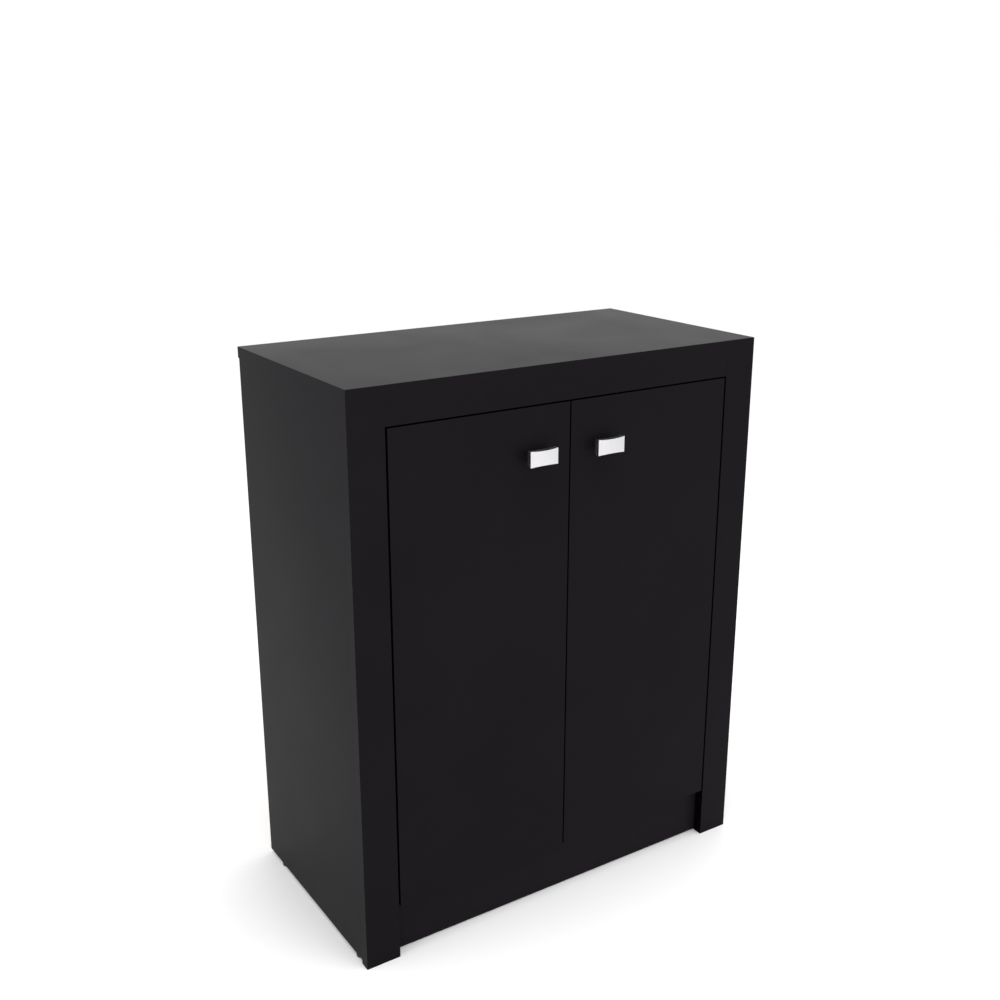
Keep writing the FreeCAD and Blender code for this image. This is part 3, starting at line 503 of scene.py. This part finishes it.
def set_stage():
    """A wide pale floor under an even white sky, with soft lights above, at the left and in front."""
    bpy.ops.object.select_all(action="DESELECT")
    bpy.ops.mesh.primitive_circle_add(vertices=96, radius=FLOOR_RADIUS, fill_type="NGON", location=(0, 0, 0))
    floor = bpy.context.object
    floor.name = "floor"
    material, tree, shader = start_material("pale_floor", Roughness=0.6, Specular_IOR_Level=0.2)
    place = add_node(tree, "TexCoord").outputs["Object"]
    noise = add_node(tree, "TexNoise", {"Vector": place, "Scale": 2.0, "Detail": 6.0})
    tree.links.new(mix_colours(tree, noise.outputs["Fac"], (0.94, 0.94, 0.94), (0.96, 0.96, 0.96)),
                   shader.inputs["Base Color"])
    floor.data.materials.append(material)
    world = bpy.data.worlds.new("studio")
    world.use_nodes = True
    sky = next(node for node in world.node_tree.nodes if node.type == "BACKGROUND")
    sky.inputs["Color"].default_value = (1, 1, 1, 1)
    sky.inputs["Strength"].default_value = SKY_STRENGTH
    scene = bpy.context.scene
    scene.world = world
    scene.view_settings.view_transform = "Standard"
    softbox("overhead_light", place=(0.3, -0.6, 3.2), aim=(0, 0, cad_high.z / 2), width=2.4, height=2.4,
            power=36)
    softbox("left_light", place=(-2.4, -0.2, 1.5), aim=(-0.9, 0, 0), width=1.6, height=1.6, power=14)
    softbox("front_light", place=(0.6, -2.6, 1.4), aim=(0.1, -0.8, 0), width=1.8, height=1.2, power=16)


# ---- boards

def board(node):
    """A faced board with banded edges: its corners are broken by a small round all the way along."""
    low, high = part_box(node)
    piece = block(node + "_board", low, high)
    bpy.ops.object.mode_set(mode="EDIT")
    bpy.ops.mesh.select_all(action="SELECT")
    bpy.ops.mesh.bevel(offset=EDGE_ROUND, segments=3, affect="EDGES")
    bpy.ops.mesh.normals_make_consistent(inside=False)
    bpy.ops.object.mode_set(mode="OBJECT")
    return piece


def band_edges(piece, node):
    """Give the narrow faces the edge band's finish, and a near-black band of painted shade where they line the
    gaps round the doors.
    """
    low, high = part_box(node)
    thin = min(range(3), key=lambda axis: high[axis] - low[axis])
    # the kick board takes the lighter facing, painted light against the shade of its recess
    for material in (KICK_PAINTED_LIGHT_FACING if node == "kick_board" else FACING, BAND, GAP_SHADE_BAND):
        piece.data.materials.append(material)
    for face in piece.data.polygons:
        inward = face.normal.x * face.center.x < 0 or face.normal.z < -SQUARE_ON
        # door edges and the gap faces of the posts and rail take the painted shade band
        takes_gap_shade = node.startswith("door_panel") or node in GAP_SHADE_BOARDS and inward
        if abs(face.normal[thin]) > SQUARE_ON:
            face.material_index = 0
        elif takes_gap_shade:
            face.material_index = 2
        else:
            face.material_index = 1


def pin_rows(side):
    """Cutters for the rows of shelf-pin holes in one side panel, three holes for each loose shelf's pin."""
    panel_low, panel_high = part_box(f"side_panel_{side}")
    face = panel_high.x if side == "left" else panel_low.x
    pins_low, pins_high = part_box("shelf_pins")
    cutters = []
    for shelf in LOOSE_SHELVES:
        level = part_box(shelf)[0].z - PIN_RADIUS
        for depth in (pins_low.y + PIN_RADIUS, pins_high.y - PIN_RADIUS):
            for step in (-1, 0, 1):
                centre = (face, depth, level + step * PIN_STEP)
                cutters.append(turned("pin_cutter", centre, "x", PIN_RADIUS, 2 * PIN_HOLE_DEPTH, 20))
    return cutters


def cup_centres(side):
    """Centres of a door's two hinge cups, on the door's back face."""
    low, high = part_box(f"hinge_cups_{side}")
    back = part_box(f"door_panel_{side}")[1].y
    across = (low.x + high.x) / 2
    return [Vector((across, back, level)) for level in (low.z + CUP_FLANGE_REACH, high.z - CUP_FLANGE_REACH)]


def make_boards():
    """All faced boards, with the pin holes of the sides and the hinge cup pockets of the doors."""
    for node in BOARDS:
        piece = board(node)
        body = "carcass"
        side = node.rsplit("_", 1)[-1]
        if node.startswith("side_panel"):
            carve(piece, pin_rows(side))
        if node.startswith("door_panel"):
            body = f"door_{side}"
            carve(piece, [turned("cup_cutter", centre, "y", CUP_RADIUS, 2 * CUP_DEPTH, 64)
                          for centre in cup_centres(side)])
        band_edges(piece, node)
        shade(piece)
        dress([piece], body, FACING, node)


# ---- handles

def make_handle(side):
    """A waisted bar, slightly crowned along its face, on two turned legs with flared feet."""
    low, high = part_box(f"handle_{side}")
    centre = (low + high) / 2
    half = (high.x - low.x) / 2
    back = low.y + HANDLE_BAR
    bar = block("bar", low, (high.x, back, high.z))
    cuts = [low.x + 2 * half * step / HANDLE_STATIONS for step in range(HANDLE_STATIONS + 1)]
    choose(bar)
    bpy.ops.object.mode_set(mode="EDIT")
    for here in cuts[1:-1]:
        bpy.ops.mesh.select_all(action="SELECT")
        bpy.ops.mesh.bisect(plane_co=(here, 0, 0), plane_no=(1, 0, 0))
    bpy.ops.object.mode_set(mode="OBJECT")
    for here in cuts:
        offset = (here - centre.x) / half
        squeeze = 1 - HANDLE_WAIST * (1 - offset ** 2) / (centre.z - low.z)
        pick_vertices(bar, lambda point: abs(point.x - here) < NEAR)
        bpy.ops.transform.resize(value=(1, 1, squeeze), center_override=centre)
        bpy.ops.object.mode_set(mode="OBJECT")
        pick_vertices(bar, lambda point: abs(point.x - here) < NEAR and point.y < low.y + HANDLE_BAR / 2)
        bpy.ops.transform.translate(value=(0, HANDLE_BOW * offset ** 2, 0))
        bpy.ops.object.mode_set(mode="OBJECT")
    soften(bar, ROUNDS["handle_bar"], 3, 50)
    legs = []
    for end in (-1, 1):
        foot = (centre.x + end * HANDLE_PITCH / 2, (back + high.y) / 2, centre.z)
        leg = turned("leg", foot, "y", LEG_RADIUS, high.y - back, 40)
        bpy.ops.object.mode_set(mode="EDIT")
        bpy.ops.mesh.select_all(action="SELECT")
        bpy.ops.mesh.bisect(plane_co=(0, high.y - LEG_COLLAR, 0), plane_no=(0, 1, 0))
        bpy.ops.object.mode_set(mode="OBJECT")
        pick_vertices(leg, lambda point: point.y > high.y - LEG_COLLAR / 2)
        bpy.ops.transform.resize(value=(LEG_FLARE, 1, LEG_FLARE), center_override=(foot[0], high.y, foot[2]))
        bpy.ops.object.mode_set(mode="OBJECT")
        soften(leg, ROUNDS["handle_leg"], 3, 25)
        legs.append(leg)
    handle = join(f"handle_bar_{side}", [bar, *legs])
    dress([handle], f"door_{side}", CHROME, f"handle_{side}")


# ---- small hardware, finished from the frame's own shapes

def refined(node, name):
    """A copy of a sub-part with its triangles merged into clean faces."""
    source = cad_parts[node]
    piece = source.copy()
    piece.data = source.data.copy()
    piece.parent = None
    for key in [key for key in piece.keys() if key.startswith("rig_")]:
        del piece[key]
    bpy.context.scene.collection.objects.link(piece)
    piece.name = piece.data.name = name
    piece.data.materials.clear()
    choose(piece)
    bpy.ops.object.mode_set(mode="EDIT")
    bpy.ops.mesh.select_all(action="SELECT")
    bpy.ops.mesh.remove_doubles(threshold=NEAR / 2)
    bpy.ops.mesh.dissolve_limited(angle_limit=math.radians(1))
    bpy.ops.object.mode_set(mode="OBJECT")
    return piece


def rounded(node, name, kind, body, material, slot):
    """A sub-part's own shape, cleaned and with its edges rounded as its kind needs."""
    piece = refined(node, name)
    soften(piece, ROUNDS[kind], 2)
    dress([piece], body, material, node)


def head_middles(node, radius, axis, level):
    """Middles of the round heads of this radius whose flat faces lie at this level along the axis."""
    flat = [vertex.co.copy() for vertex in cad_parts[node].data.vertices
            if abs(vertex.co[axis] - level) < NEAR]
    rings = []
    for point in flat:
        ring = next((ring for ring in rings
                     if all((other - point).length < HEAD_SPAN * radius for other in ring)), None)
        if ring is None:
            rings.append([point])
        else:
            ring.append(point)
    return [(Vector(map(min, zip(*ring))) + Vector(map(max, zip(*ring)))) / 2 for ring in rings]


def cross_headed(node, name, body, material, slot, radius, *faces):
    """Screws or cams with a cross recess cut into each head; faces are (axis, level) of the heads."""
    reach = RECESS_REACH * radius
    piece = refined(node, name)
    soften(piece, ROUNDS["screws"], 2)
    for axis, level in faces:
        middles = head_middles(node, radius, axis, level)
        for long_way in {0, 1, 2} - {axis}:
            half = Vector([reach / RECESS_SLIMNESS] * 3)
            half[long_way] = reach
            half[axis] = RECESS_DEPTH
            carve(piece, [block("recess", centre - half, centre + half) for centre in middles])
    shade(piece)
    dress([piece], body, material, node)


def make_hinges(side):
    """The two hinges of one door, and the screws that hold them and the door's handle."""
    door = f"door_{side}"
    for kind, body in (("hinge_cups", door), ("hinge_arms", "carcass"), ("hinge_plates", "carcass"),
                       ("hinge_links", f"hinge_links_{side}"), ("hinge_arm_pins", "carcass")):
        rounded(f"{kind}_{side}", f"steel_{kind}_{side}", kind, body, NICKEL, "nickel_plate")
    for kind, body, radius, axis in (("hinge_cup_screws", door, SMALL_HEAD, 1),
                                     ("handle_screws", door, SCREW_HEAD, 1),
                                     ("hinge_plate_screws", "carcass", SMALL_HEAD, 0),
                                     ("hinge_arm_screws", "carcass", ARM_HEAD, 0)):
        node = f"{kind}_{side}"
        low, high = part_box(node)
        level = low.x if axis == 0 and side == "right" else high[axis]
        material, slot = (ZINC, "zinc_plate") if kind == "handle_screws" else (NICKEL, "nickel_plate")
        cross_headed(node, f"cross_head_{node}", body, material, slot, radius, (axis, level))


def make_joinery():
    """Screws of the front stretcher, and the cams, bolts and dowels that hold the boards together."""
    cross_headed("stretcher_screws", "cross_head_stretcher_screws", "carcass", ZINC, "zinc_plate", SCREW_HEAD,
                 (1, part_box("stretcher_screws")[1].y))
    cross_headed("cam_locks", "cross_head_cam_locks", "carcass", ZINC, "zinc_plate", CAM_HEAD,
                 (0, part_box("side_panel_left")[1].x), (0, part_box("side_panel_right")[0].x),
                 (2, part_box("bottom_panel")[0].z), (2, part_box("fixed_shelf")[0].z))
    rounded("dowels", "chamfered_dowels", "dowels", "carcass", BEECH, "beech_dowel")
    rounded("cam_bolts", "rounded_cam_bolts", "cam_bolts", "carcass", ZINC, "zinc_plate")


def make_glides():
    """Black moulded glides: a rounded foot with a hollow underside."""
    low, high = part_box("floor_glides")
    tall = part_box("side_panel_left")[0].z - low.z
    places = [(x, y, tall / 2) for x in (low.x + GLIDE_RADIUS, high.x - GLIDE_RADIUS)
              for y in (low.y + GLIDE_RADIUS, high.y - GLIDE_RADIUS)]
    foot = turned("floor_glide", places[0], "z", GLIDE_RADIUS, tall, 48)
    pick_faces(foot, lambda face: face.normal.z < -SQUARE_ON)
    bpy.ops.object.mode_set(mode="EDIT")
    bpy.ops.mesh.inset(thickness=GLIDE_RIM, depth=0)
    bpy.ops.mesh.inset(thickness=GLIDE_SLOPE, depth=-GLIDE_HOLLOW)
    bpy.ops.object.mode_set(mode="OBJECT")
    soften(foot, ROUNDS["floor_glides"])
    dress(repeat(foot, places), "carcass", BLACK_PLASTIC, "floor_glides")


def make_pins():
    """Steel shelf pins with a grooved neck and a rounded nose."""
    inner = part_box("side_panel_right")[0].x
    low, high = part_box("shelf_pins")
    length = high.x - inner + PIN_REACH
    for side, sign in LEFT_AND_RIGHT.items():
        nose = inner - PIN_REACH
        places = [(sign * (nose + length / 2), y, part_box(shelf)[0].z - PIN_RADIUS) for shelf in LOOSE_SHELVES
                  for y in (low.y + PIN_RADIUS, high.y - PIN_RADIUS)]
        pin = turned(f"shelf_pin_{side}", places[0], "x", PIN_RADIUS, length, 24)
        bpy.ops.object.mode_set(mode="EDIT")
        for step in PIN_GROOVE:
            bpy.ops.mesh.select_all(action="SELECT")
            bpy.ops.mesh.bisect(plane_co=(sign * (nose + step), 0, 0), plane_no=(1, 0, 0))
        bpy.ops.object.mode_set(mode="OBJECT")
        pick_vertices(pin, lambda point: PIN_GROOVE[0] + NEAR < abs(point.x) - nose < PIN_GROOVE[3] - NEAR)
        bpy.ops.transform.resize(value=(1, PIN_NECK, PIN_NECK), center_override=(0, *places[0][1:]))
        bpy.ops.object.mode_set(mode="OBJECT")
        soften(pin, ROUNDS["shelf_pins"])
        dress(repeat(pin, places), "carcass", ZINC, "shelf_pins")


def make_bumpers():
    """Clear stick-on bumpers, domed towards the doors."""
    low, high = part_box("door_bumpers")
    places = [(x, (low.y + high.y) / 2, z) for x in (low.x + BUMPER_RADIUS, high.x - BUMPER_RADIUS)
              for z in (low.z + BUMPER_RADIUS, high.z - BUMPER_RADIUS)]
    pad = turned("door_bumper", places[0], "y", BUMPER_RADIUS, high.y - low.y, 36)
    pick_faces(pad, lambda face: face.normal.y < -SQUARE_ON)
    bpy.ops.object.mode_set(mode="EDIT")
    bpy.ops.mesh.bevel(offset=BUMPER_DOME, segments=4, affect="EDGES")
    bpy.ops.object.mode_set(mode="OBJECT")
    shade(pad)
    dress(repeat(pad, places), "carcass", CLEAR_BUMPER, "door_bumpers")


def make_back():
    """Two hardboard halves, the plastic strip between them and the nails round the edge."""
    for side in LEFT_AND_RIGHT:
        node = f"back_panel_{side}"
        sheet = block(f"back_sheet_{side}", *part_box(node))
        soften(sheet, ROUNDS["back_panel"], 2)
        dress([sheet], "carcass", HARDBOARD, node)
    rounded("back_joining_strip", "joining_strip", "back_joining_strip", "carcass", BLACK_PLASTIC,
            "black_plastic")
    rounded("back_nails", "nail_set", "back_nails", "carcass", ZINC, "zinc_plate")


# ---- run it all

set_camera()
set_stage()
make_boards()
make_back()
make_glides()
make_pins()
make_bumpers()
for side in LEFT_AND_RIGHT:
    make_handle(side)
    make_hinges(side)
make_joinery()
